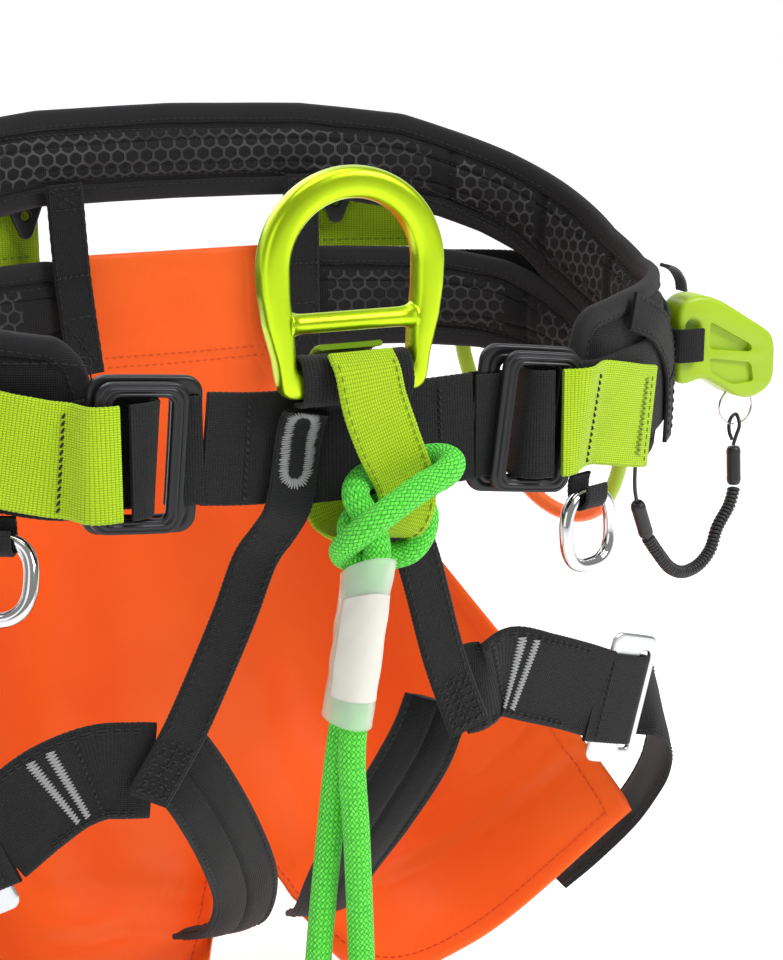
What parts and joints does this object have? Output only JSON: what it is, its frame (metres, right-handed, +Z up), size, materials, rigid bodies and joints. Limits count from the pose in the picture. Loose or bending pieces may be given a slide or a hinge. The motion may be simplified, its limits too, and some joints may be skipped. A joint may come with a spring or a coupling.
{
  "type": "tree climbing saddle",
  "caption": "Padded climbing saddle with waist pads, front belt, attachment ring, leg loops, seat panel, rope sling and tool hook.",
  "frame": {"origin": "middle of the waist at the height of the belt buckles, on the wearer's spine-to-navel line", "axes": "+X is the wearer's left, -Y is the wearer's front, +Z is up"},
  "size_m": [0.4631, 0.2853, 0.4366],
  "materials": {
    "padding": "matt mesh over foam",
    "black_webbing": "woven, slight sheen",
    "lime_webbing": "woven, slight sheen",
    "grey_webbing": "woven, matt",
    "seat_fabric": "coated, soft sheen",
    "sling_cover": "braided, matt",
    "clear_sleeve": "clear flexible tube",
    "anodised_ring": "anodised, satin",
    "black_frames": "satin",
    "bright_plate": "satin",
    "polished_steel": "polished",
    "black_plastic": "matt",
    "hook_plastic": "semi-gloss",
    "loop_sleeve": "smooth",
    "leash_cover": "satin"
  },
  "bodies": {
    "harness": {"back_strap_left": "black_webbing", "back_strap_right": "black_webbing", "belt_buckle_back_frame_left": "black_frames", "belt_buckle_back_frame_right": "black_frames", "belt_fold_left": "black_webbing", "belt_fold_right": "black_webbing", "belt_tab_left": "lime_webbing", "belt_tab_right": "lime_webbing", "bridge_loop": "lime_webbing", "front_belt": "black_webbing", "gear_clip_left": "black_plastic", "gear_clip_right": "black_plastic", "gear_loop_left": "loop_sleeve", "gear_loop_right": "loop_sleeve", "hip_strap_left": "black_webbing", "hip_strap_right": "black_webbing", "hip_webbing_left": "black_webbing", "hip_webbing_right": "black_webbing", "hook_keeper": "grey_webbing", "hook_strap": "black_webbing", "inner_thigh_pad_left": "padding", "inner_thigh_pad_right": "padding", "leash_coil": "leash_cover", "leash_lower_ferrule": "leash_cover", "leash_lower_loop": "leash_cover", "leash_upper_ferrule": "leash_cover", "leash_upper_loop": "leash_cover", "leg_riser_left": "black_webbing", "leg_riser_right": "black_webbing", "leg_strap_left": "black_webbing", "leg_strap_right": "black_webbing", "lower_hip_pad_left": "padding", "lower_hip_pad_right": "padding", "outer_leg_pad_left": "padding", "outer_leg_pad_right": "padding", "rear_panel_left": "lime_webbing", "rear_panel_right": "lime_webbing", "ring_loop": "black_webbing", "seat_panel": "seat_fabric", "side_ring_loop_left": "black_webbing", "side_ring_loop_right": "black_webbing", "sling_rope": "sling_cover", "sling_sleeve": "clear_sleeve", "tool_hook": "hook_plastic", "upper_waist_pad": "padding"},
    "attachment_ring": {"attachment_ring": "anodised_ring"},
    "belt_frame_left": {"belt_buckle_front_frame_left": "black_frames"},
    "belt_frame_right": {"belt_buckle_front_frame_right": "black_frames"},
    "side_ring_left": {"side_ring_left": "polished_steel"},
    "side_ring_right": {"side_ring_right": "polished_steel"},
    "leg_buckle_left": {"leg_buckle_left": "bright_plate", "leg_strap_turn_left": "black_webbing"},
    "leg_buckle_right": {"leg_buckle_right": "bright_plate", "leg_strap_turn_right": "black_webbing"},
    "split_ring": {"split_ring": "polished_steel"}
  },
  "joints": [
    {"name": "attachment_ring_tilt", "type": "hinge", "parent": "harness", "child": "attachment_ring", "pos_m": [-0.0045, -0.1295, 0.029], "axis": [1, 0, 0], "range_deg": [-15, 75]},
    {"name": "belt_frame_left_tilt", "type": "hinge", "parent": "harness", "child": "belt_frame_left", "pos_m": [0.09489, -0.1246, 0.00067], "axis": [0.1219, 0, 0.9925], "range_deg": [0, 14]},
    {"name": "belt_frame_right_tilt", "type": "hinge", "parent": "harness", "child": "belt_frame_right", "pos_m": [-0.10444, -0.1246, 0.00581], "axis": [-0.0872, 0, -0.9962], "range_deg": [0, 14]},
    {"name": "side_ring_left_swing", "type": "hinge", "parent": "harness", "child": "side_ring_left", "pos_m": [0.11125, -0.11356, -0.034], "axis": [-0.9478, -0.3188, 0], "range_deg": [-8, 40]},
    {"name": "side_ring_right_swing", "type": "hinge", "parent": "harness", "child": "side_ring_right", "pos_m": [-0.13961, -0.10155, -0.0275], "axis": [-0.885, 0.4657, 0], "range_deg": [-26, 20]},
    {"name": "leg_buckle_left_tilt", "type": "hinge", "parent": "harness", "child": "leg_buckle_left", "pos_m": [0.1525, -0.077, -0.146], "axis": [0.2837, 0.0707, 0.9563], "range_deg": [-6, 6]},
    {"name": "leg_buckle_right_tilt", "type": "hinge", "parent": "harness", "child": "leg_buckle_right", "pos_m": [-0.152, -0.063, -0.17], "axis": [-0.3489, 0.3141, 0.8829], "range_deg": [-6, 6]},
    {"name": "split_ring_swing", "type": "hinge", "parent": "harness", "child": "split_ring", "pos_m": [0.236, -0.038, -0.013], "axis": [1, 0, 0], "range_deg": [-5, 5]}
  ]
}
